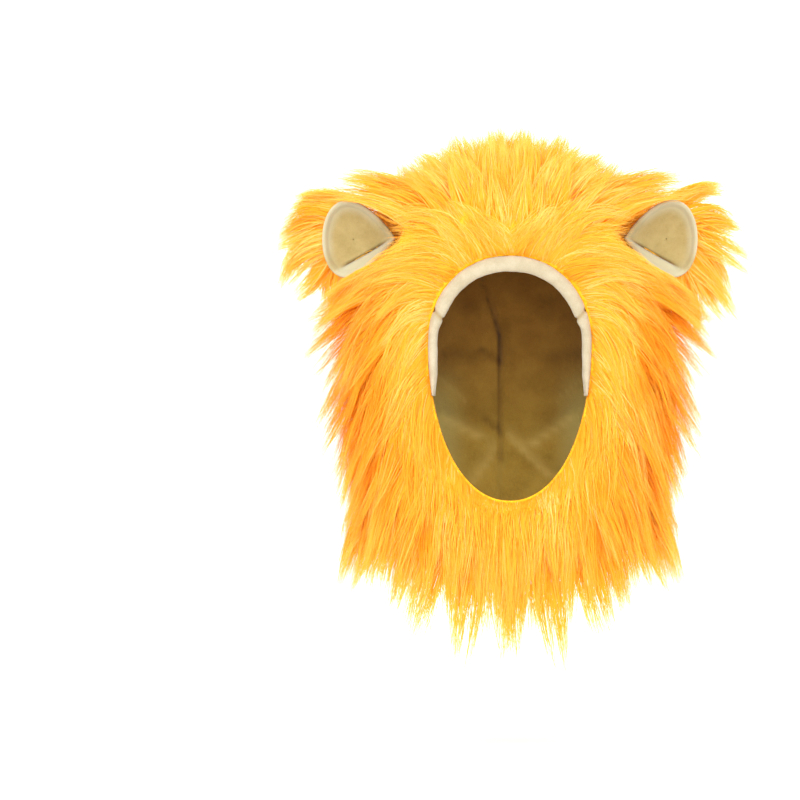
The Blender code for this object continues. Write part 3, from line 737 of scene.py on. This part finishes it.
def spaced(places, spacing):
    """Which of the places to keep so that they lie at least a spacing apart."""
    cells = {}
    chosen = []
    for index, place in enumerate(places):
        cell = tuple((place // spacing).astype(int))
        near = [
            other
            for i in (-1, 0, 1) for j in (-1, 0, 1) for k in (-1, 0, 1)
            for other in cells.get((cell[0] + i, cell[1] + j, cell[2] + k), ())
        ]
        if not near or np.min(np.sum((np.array(near) - place) ** 2, axis=-1)) > spacing**2:
            cells.setdefault(cell, []).append(place)
            chosen.append(index)
    return np.array(chosen)


# Locks are placed on the hood's right half and mirrored, as the fabric's two panels are. Besides
# the evenly spread ones there are short locks along the face edge, long ones that pass over the
# ears, and short ones that lie flat on the temples in front of them.
LOCK_TRIES = 40000
LOCK_SPACING = 0.0110
TUFT_SPACING = 0.028
TEMPLE_SPACING = 0.0085
EDGE_LOCKS = 72
LONG_LOCKS = 26
LOWEST_TIP = -0.498

lock_around = rng.uniform(0.0, 180.0, LOCK_TRIES)
lock_ring = rng.uniform(0.0, HEM, LOCK_TRIES)
tried = on_hood(lock_around, lock_ring)
kept = spaced(tried, LOCK_SPACING)
temple = np.flatnonzero(
    (tried[:, 0] > 0.085) & (np.abs(tried[:, 2] + 0.050) < 0.034)
    & (tried[:, 1] > -0.100) & (tried[:, 1] < -0.010)
)
temple = temple[spaced(tried[temple], TEMPLE_SPACING)]
lock_around = np.concatenate([
    lock_around[kept], np.linspace(0.5, 179.5, EDGE_LOCKS), rng.uniform(36.0, 66.0, LONG_LOCKS),
    lock_around[temple],
])
lock_ring = np.concatenate([
    lock_ring[kept], rng.uniform(0.02, 0.10, EDGE_LOCKS), rng.uniform(2.0, 4.6, LONG_LOCKS),
    lock_ring[temple],
])
lock_count = len(lock_around)
kind_counts = (len(kept), EDGE_LOCKS, LONG_LOCKS, len(temple))
kind = np.repeat(("pile", "edge", "long", "temple"), kind_counts)
at_edge = kind == "edge"
over_ear = kind == "long"
by_temple = kind == "temple"

# Which way the locks lie by the face edge and over the crown, at their roots and at their tips.
# Each pair is a place in degrees from the middle of the crown, and the direction there in degrees
# from straight up, seen from the front.
BROW_ROOTS = ((0, 2), (15, 16), (30, 36), (50, 62), (75, 108), (90, 138), (130, 166), (180, 180))
BROW_TIPS = ((0, 2), (15, 34), (30, 74), (50, 128), (75, 156), (110, 172), (180, 180))
CROWN_ROOTS = ((0, 0), (30, 38), (60, 66), (90, 138), (180, 180))
CROWN_TIPS = ((0, 2), (30, 54), (60, 104), (90, 160), (130, 174), (180, 180))


def read_off(places, pairs):
    """The value at each place, from pairs of a place and a value."""
    return np.interp(places, *zip(*pairs))


crown = ease((lock_ring - 1.4) / 1.2)
back = ease((lock_ring - 4.8) / 1.8) * (1.0 - ease((lock_around - 95.0) / 40.0))
brow_start = read_off(lock_around, BROW_ROOTS)
brow_end = read_off(lock_around, BROW_TIPS)
crown_start = read_off(lock_around, CROWN_ROOTS)
crown_end = read_off(lock_around, CROWN_TIPS)
start_angle = brow_start + (crown_start - brow_start) * crown + rng.normal(0.0, 4.0, lock_count)
end_angle = brow_end + (crown_end - brow_end) * crown + rng.normal(0.0, 5.0, lock_count)
start_angle[over_ear] = rng.uniform(56.0, 72.0, LONG_LOCKS)
end_angle[over_ear] = rng.uniform(84.0, 100.0, LONG_LOCKS)

# By an ear's root the pile parts, and lies past the ear above it and below it.
ear_root = ear_ways(1)[0]
lock_place = on_hood(lock_around, lock_ring)
from_ear = lock_place - ear_root
by_ear = ease(1.6 - np.hypot(from_ear[:, 0], from_ear[:, 2]) / 0.042)
by_ear = by_ear * (lock_place[:, 1] < 0.02) * ~over_ear * ~by_temple
above = ease(from_ear[:, 2] / 0.024 + 0.5)
start_angle = start_angle + (118.0 - 56.0 * above - start_angle) * by_ear
end_angle = end_angle + (150.0 - 66.0 * above - end_angle) * by_ear

# The pile is shorter at the brow and on the crown's shoulders, and longest at the sides and below
# the chin, where it ends in a long fringe.
PILE_LENGTHS = ((0, 0.050), (20, 0.066), (45, 0.088), (75, 0.092), (120, 0.090), (180, 0.088))
EDGE_SHORTER = ((0, 0.42), (25, 0.25), (60, 0.1), (180, 0.0))
SHOULDER_SHORTER = 0.24
SIDE_LONGER = 0.022
FRINGE_LONGER = 0.034
near_edge = 1.0 - ease(lock_ring / 1.6)
shoulder = np.exp(-(((lock_around - 30.0) / 16.0) ** 2)) * ease((lock_ring - 0.8) / 1.2)
at_side = ease((lock_ring - 1.0) / 2.0) * ease((lock_around - 60.0) / 30.0)
at_side = at_side * (1.0 - ease((lock_ring - 6.0) / 3.0))
at_fringe = ease((lock_ring - 9.0) / 2.5) * ease((lock_around - 122.0) / 45.0)
lock_length = read_off(lock_around, PILE_LENGTHS) * (1.0 - SHOULDER_SHORTER * shoulder)
lock_length = lock_length * (1.0 - near_edge * read_off(lock_around, EDGE_SHORTER))
lock_length = lock_length + SIDE_LONGER * at_side + FRINGE_LONGER * at_fringe
lock_length = lock_length * rng.uniform(0.85, 1.15, lock_count)
lock_length[over_ear] = rng.uniform(0.100, 0.122, LONG_LOCKS)
lock_length[by_temple] = rng.uniform(0.030, 0.042, len(temple))

# How high the pile lies over the backing, how steeply it leaves it, and in which layer a lock is.
PILE_DEPTHS = ((0, 0.040), (50, 0.055), (90, 0.062), (130, 0.052), (180, 0.038))
PILE_LIFTS = ((0, 0.55), (40, 0.75), (90, 0.95), (140, 0.65), (180, 0.45))
pile_depth = read_off(lock_around, PILE_DEPTHS) * (0.16 + 0.84 * ease(lock_ring / 2.2))
layer = rng.uniform(0.15, 1.0, lock_count)
layer[over_ear] = 1.0
layer[at_edge] = 0.1
layer[by_temple] = 0.06

lock_normal, lock_away = cloth_ways(lock_around, lock_ring)
lift = read_off(lock_around, PILE_LIFTS) * (0.30 + 0.70 * ease(lock_ring / 1.6))
lift = lift + 0.9 * crown * (1.0 - ease((lock_around - 30.0) / 50.0))
start_way = front_way(start_angle) + lock_normal * lift[:, None] + lock_away * 0.25
swept_back = (1.0 - ease((lock_around - 45.0) / 45.0)) * ease((lock_ring - 0.3) / 1.2)
swept_back = swept_back * (1.0 - back)
start_way = start_way + BACKWARD * (0.45 * swept_back)[:, None]
start_way = start_way * (1.0 - back)[:, None] + (
    (DOWN * 0.7 + lock_away * 0.5 + lock_normal * 0.9) * back[:, None]
)
inward = np.minimum(np.sum(start_way * lock_away, axis=-1) - 0.2, 0.0)
inward = inward * (1.0 - ease(lock_ring / 1.2))
start_way[by_temple] = BACKWARD + DOWN * 0.30 + lock_normal[by_temple] * 0.35
start_way = unit(start_way - lock_away * inward[:, None] + rng.normal(0.0, 0.08, (lock_count, 3)))
end_way = front_way(end_angle) + lock_normal * 0.12 + BACKWARD * (0.75 * swept_back)[:, None]
end_way = end_way * (1.0 - back)[:, None] + (DOWN + lock_normal * 0.12) * back[:, None]
end_way[by_temple] = BACKWARD + DOWN * 0.60
end_way = unit(end_way + rng.normal(0.0, 0.06, (lock_count, 3)))

rows, columns = coat_outer.shape[:2]
index = np.arange(rows * columns).reshape(rows, columns)
index_next = np.roll(index, -1, axis=1)
quads = np.stack([index[:-1], index[1:], index_next[1:], index_next[:-1]], axis=-1)
coat_faces = BVHTree.FromPolygons(
    coat_outer.reshape(-1, 3).tolist(), quads.reshape(-1, 4).tolist()
)
sample = coat_faces.find_nearest(Vector((HOLLOW_HALF_WIDTH, 0.0, -0.2)))
facing_out = 1.0 if sample[1].x > 0 else -1.0


def over_coat(point, least):
    """The point, at least so far out from the undercoat, and the outward direction there."""
    nearest, normal, _, distance = coat_faces.find_nearest(Vector(point))
    normal = np.array(normal) * facing_out
    away = point - np.array(nearest)
    height = away @ normal
    raised = point + normal * max(least - height, 0.0)
    return raised, unit(normal + 0.6 * unit(away) * ease(distance / 0.02))


ROOT_SUNK = 0.002
under = undercoat_depth(lock_around, lock_ring)
lock_root = on_hood(lock_around, lock_ring) + lock_normal * (under - ROOT_SUNK)[:, None]
falling = ease((lock_around - 55.0) / 30.0)
guides = [lock_root]
guide_normals = [lock_normal]
for step in range(GUIDE_STEPS):
    share = (step + 1) / GUIDE_STEPS
    bend = ease(share * (1.1 + 0.7 * falling))[:, None]
    way = unit(start_way * (1.0 - bend) + end_way * bend)
    moved = guides[-1] + way * (lock_length / GUIDE_STEPS)[:, None]
    climb = math.sin(math.pi * min(share**0.7 * 0.62, 0.5))
    least = 0.0006 + np.maximum(pile_depth - under, 0.003) * layer * climb
    pairs = [over_coat(point, height) for point, height in zip(moved, least)]
    moved = np.array([pair[0] for pair in pairs])
    moved = guides[-1] + unit(moved - guides[-1]) * (lock_length / GUIDE_STEPS)[:, None]
    guides.append(moved)
    guide_normals.append(np.array([pair[1] for pair in pairs]))
guides = np.stack(guides, axis=1)
guide_normals = np.stack(guide_normals, axis=1)

# Neighbouring locks lean together into larger pointed tufts.
heads = spaced(lock_root, TUFT_SPACING)
head_of = heads[np.argmin(
    np.linalg.norm(lock_root[:, None] - lock_root[heads][None], axis=-1), axis=1
)]
guide_share = np.linspace(0.0, 1.0, GUIDE_STEPS + 1)
lean = 0.26 + 0.30 * (1.0 - ease((lock_around - 40.0) / 30.0))
lean = lean + 0.24 * ease((lock_ring - 8.0) / 2.0)
lean = guide_share**2.0 * lean[:, None]
lean = lean * ~(over_ear | by_temple)[:, None]
guides = guides + (guides[head_of] - guides) * lean[..., None]

MIRROR = np.array([-1.0, 1.0, 1.0])
lock_around = np.concatenate([lock_around, -lock_around])
lock_ring = np.tile(lock_ring, 2)
guides = np.concatenate([guides, guides * MIRROR])
guide_normals = np.concatenate([guide_normals, guide_normals * MIRROR])
over_ear = np.tile(over_ear, 2)
by_temple = np.tile(by_temple, 2)
at_edge = np.tile(at_edge, 2)


def hairs_round(guides, guide_normals, owner, offsets, clump, reach):
    """Hairs that start round their guides and close up on them towards the tip."""
    steps = guides.shape[1] - 1
    share = np.linspace(0.0, 1.0, HAIR_POINTS)
    sample = np.clip(reach[:, None] * share[None] * steps, 0.0, steps - 1e-6)
    low = sample.astype(int)
    part = (sample - low)[..., None]
    rows = owner[:, None]
    path = guides[rows, low] * (1.0 - part) + guides[rows, low + 1] * part
    normal = guide_normals[rows, low] * (1.0 - part) + guide_normals[rows, low + 1] * part
    closing = 1.0 - clump[:, None] * share[None] ** 1.7
    path = path + offsets[:, None] * closing[..., None]
    bend = rng.normal(0.0, 0.0022, (len(owner), 3))
    path = path + bend[:, None] * (share**1.6)[None, :, None]
    round_lock = offsets / np.maximum(np.linalg.norm(offsets, axis=-1, keepdims=True), 0.004)
    return path, unit(normal + 0.30 * round_lock[:, None])


def ear_clear(paths):
    """Which hairs leave the plush of both ears free, seen from the front."""
    clear = np.ones(len(paths), bool)
    steps = np.diff(paths, axis=1)
    between = [paths[:, :-1] + steps * part for part in (0.25, 0.5, 0.75)]
    points = np.concatenate([paths, *between], axis=1)
    for side in (-1, 1):
        root = ear_ways(side)[0]
        out = (points[..., 0] - root[0]) * side / math.cos(EAR_SWEEP)
        up = points[..., 2] - root[2]
        share = np.clip(out / EAR_LENGTH, 0.0, 1.0)
        half = EAR_HALF_HEIGHT * share * np.sqrt(1.0 - share) * 1.5 * math.sqrt(3.0) - 0.0020
        depth = (ear_surface(out, up) - EAR_FACE_WALL) * math.cos(EAR_SWEEP)
        before = points[..., 1] < root[1] + out * math.sin(EAR_SWEEP) - depth
        over = (share > 0.13) & (share < 1.0) & (np.abs(up) < half) & before
        clear &= ~over.any(axis=1)
    return clear


FRONT_HAIRS, BACK_HAIRS, EDGE_HAIRS, LONG_HAIRS, TEMPLE_HAIRS = 74, 44, 40, 80, 38
STRAY_SHARE = 0.06
per_lock = np.where(lock_ring < 5.0, FRONT_HAIRS, BACK_HAIRS)
per_lock[at_edge] = EDGE_HAIRS
per_lock[over_ear] = LONG_HAIRS
per_lock[by_temple] = TEMPLE_HAIRS
owner = np.repeat(np.arange(len(lock_around)), per_lock)
per_degree = np.linalg.norm(
    on_hood(lock_around + 1.0, lock_ring) - on_hood(lock_around - 1.0, lock_ring), axis=-1
) / 2.0
low_ring, high_ring = np.maximum(lock_ring - 0.1, 0.0), np.minimum(lock_ring + 0.1, HEM)
per_ring = np.linalg.norm(
    on_hood(lock_around, high_ring) - on_hood(lock_around, low_ring), axis=-1
) / (high_ring - low_ring)
disc = np.sqrt(rng.uniform(0.0, 1.0, len(owner))) * LOCK_SPACING * 0.95
disc_turn = rng.uniform(0.0, 2.0 * math.pi, len(owner))
hair_around = lock_around[owner] + disc * np.cos(disc_turn) / per_degree[owner]
hair_ring = np.clip(lock_ring[owner] + disc * np.sin(disc_turn) / per_ring[owner], 0.0, HEM)
hair_normal = cloth_ways(hair_around, hair_ring)[0]
hair_root = on_hood(hair_around, hair_ring)
hair_sunk = undercoat_depth(hair_around, hair_ring) - ROOT_SUNK
hair_root = hair_root + hair_normal * hair_sunk[:, None]
clump = rng.uniform(0.62, 0.94, len(lock_around)) + 0.10 * ease((lock_ring - 7.0) / 2.0)
clump = np.minimum(clump[owner], 0.98)
stray = rng.uniform(0.0, 1.0, len(owner)) < STRAY_SHARE
clump[stray] = rng.uniform(-1.0, 0.2, stray.sum())
reach = 1.0 - 0.50 * rng.uniform(0.0, 1.0, len(owner)) ** 1.2
offsets = hair_root - guides[owner, 0]
hair_paths, hair_normals = hairs_round(guides, guide_normals, owner, offsets, clump, reach)
# Painted light: higher locks are painted paler, added to each lock's and hair's random tone.
painted_light_above = np.clip(1.0 + guides[:, 0, 2] / 0.13, -0.3, 1.0)
lock_tone = rng.normal(0.5, 0.13, len(lock_around)) + 0.16 * painted_light_above
hair_tones = np.clip(lock_tone[owner] + rng.normal(0.0, 0.20, len(owner)), 0.0, 1.0)
hair_widths = HAIR_WIDTH * rng.uniform(0.7, 1.25, len(owner))

free = ear_clear(hair_paths) & (hair_paths[..., 2].min(axis=1) > LOWEST_TIP)
right_side = guides[:, 0, 0] > 0
crown_zone = (lock_ring < 4.6) & (from_top(lock_around) < 52.0)
bib_zone = from_top(lock_around) > 138.0
back_zone = (lock_ring >= 6.5) & (from_top(lock_around) < 60.0)
side_zone = ~(crown_zone | bib_zone | back_zone)
zones = (
    ("mane_fur_crown", crown_zone),
    ("mane_fur_bib", bib_zone),
    ("mane_fur_back", back_zone),
    ("mane_fur_front_right", side_zone & right_side & (lock_ring < 4.6)),
    ("mane_fur_front_left", side_zone & ~right_side & (lock_ring < 4.6)),
    ("mane_fur_right", side_zone & right_side & (lock_ring >= 4.6)),
    ("mane_fur_left", side_zone & ~right_side & (lock_ring >= 4.6)),
)
for name, inside in zones:
    rows = inside[owner] & free
    piece = hair_mesh(
        name, hair_paths[rows], hair_normals[rows], hair_tones[rows], pile, hair_widths[rows]
    )


# The ears' fur: the same pile on the back of each ear. It sprays out past the rim and droops, and
# the longest of it hangs well below the ear.

WIDEST_TIP = 0.2555
EAR_LOCKS = 150
EAR_HAIRS_PER_LOCK = 50
EAR_TUFT_SPACING = 0.017
EAR_LEAN = 0.72

# Each row is a place round the rim, in degrees from its top outwards, the directions there of a
# lock's root and of its tip, as for the mane, and its length.
EarLock = namedtuple("EarLock", "place root tip length")
EAR_LOCK_WAYS = (
    EarLock(-180, 178, 180, 0.050),
    EarLock(-90, 84, 118, 0.072),
    EarLock(-30, 58, 82, 0.081),
    EarLock(0, 62, 90, 0.078),
    EarLock(45, 80, 120, 0.082),
    EarLock(90, 106, 152, 0.100),
    EarLock(135, 142, 170, 0.098),
    EarLock(180, 172, 180, 0.072),
)


def on_ear_back(side, share, turn):
    """Points of an ear's back, at shares of the way from its middle to its outline."""
    depth = EAR_BACK_WALL * (1.0 - share**2) * 0.9 + EAR_FACE_WALL
    return ear_points(side, share * 0.98, turn, depth)


for side, word in ((-1, "left"), (1, "right")):
    root, along, forward = ear_ways(side)
    turn = rng.uniform(0.0, 2.0 * math.pi, EAR_LOCKS)
    share = np.sqrt(rng.uniform(0.08, 1.0, EAR_LOCKS))
    start = on_ear_back(side, share, turn)
    from_middle = start - (root + along * (EAR_MIDDLE * EAR_LENGTH))
    rim_angle = np.degrees(np.arctan2(from_middle @ along, from_middle[:, 2]))
    places, roots, tips, lengths = zip(*EAR_LOCK_WAYS)
    start_angle = np.interp(rim_angle, places, roots) + rng.normal(0.0, 7.0, EAR_LOCKS)
    end_angle = np.interp(rim_angle, places, tips) + rng.normal(0.0, 8.0, EAR_LOCKS)
    length = np.interp(rim_angle, places, lengths) * rng.uniform(0.72, 1.05, EAR_LOCKS)
    spread = np.array([side, 1.0, 1.0])
    behind = -forward * (0.15 + 1.1 * (1.0 - share[:, None]))
    start_way = unit(front_way(start_angle) * spread + behind)
    end_way = unit(front_way(end_angle) * spread + behind * 0.4)
    paths = [start]
    for step in range(GUIDE_STEPS):
        bend = ease((step + 1) / GUIDE_STEPS)
        way = unit(start_way * (1.0 - bend) + end_way * bend)
        paths.append(paths[-1] + way * (length / GUIDE_STEPS)[:, None])
    ear_guides = np.stack(paths, axis=1)
    heads = spaced(start, EAR_TUFT_SPACING)
    to_heads = np.linalg.norm(start[:, None] - start[heads][None], axis=-1)
    head_of = heads[np.argmin(to_heads, axis=1)]
    lean = EAR_LEAN * guide_share**1.5
    ear_guides = ear_guides + (ear_guides[head_of] - ear_guides) * lean[:, None]
    ear_normals = unit(ear_guides - (root + along * 0.03 + forward * 0.01))
    ear_normals = unit(ear_normals + forward * 1.3)
    owner = np.repeat(np.arange(EAR_LOCKS), EAR_HAIRS_PER_LOCK)
    hair_share = np.clip(share[owner] + rng.normal(0.0, 0.10, len(owner)), 0.05, 1.0)
    hair_turn = turn[owner] + rng.normal(0.0, 0.16, len(owner))
    offsets = on_ear_back(side, hair_share, hair_turn) - start[owner]
    clump = rng.uniform(0.82, 0.98, EAR_LOCKS)[owner]
    stray = rng.uniform(0.0, 1.0, len(owner)) < STRAY_SHARE
    clump[stray] = rng.uniform(-1.0, 0.2, stray.sum())
    reach = 1.0 - 0.45 * rng.uniform(0.0, 1.0, len(owner)) ** 1.4
    paths, normals = hairs_round(ear_guides, ear_normals, owner, offsets, clump, reach)
    tone = rng.normal(0.66, 0.12, EAR_LOCKS)[owner] + rng.normal(0.0, 0.2, len(owner))
    tone = np.clip(tone, 0.0, 1.0)
    widths = HAIR_WIDTH * rng.uniform(0.7, 1.25, len(owner))
    keep = ear_clear(paths) & (np.abs(paths[..., 0]).max(axis=1) < WIDEST_TIP)
    piece = hair_mesh(
        f"ear_fur_{word}", paths[keep], normals[keep], tone[keep], pile, widths[keep]
    )
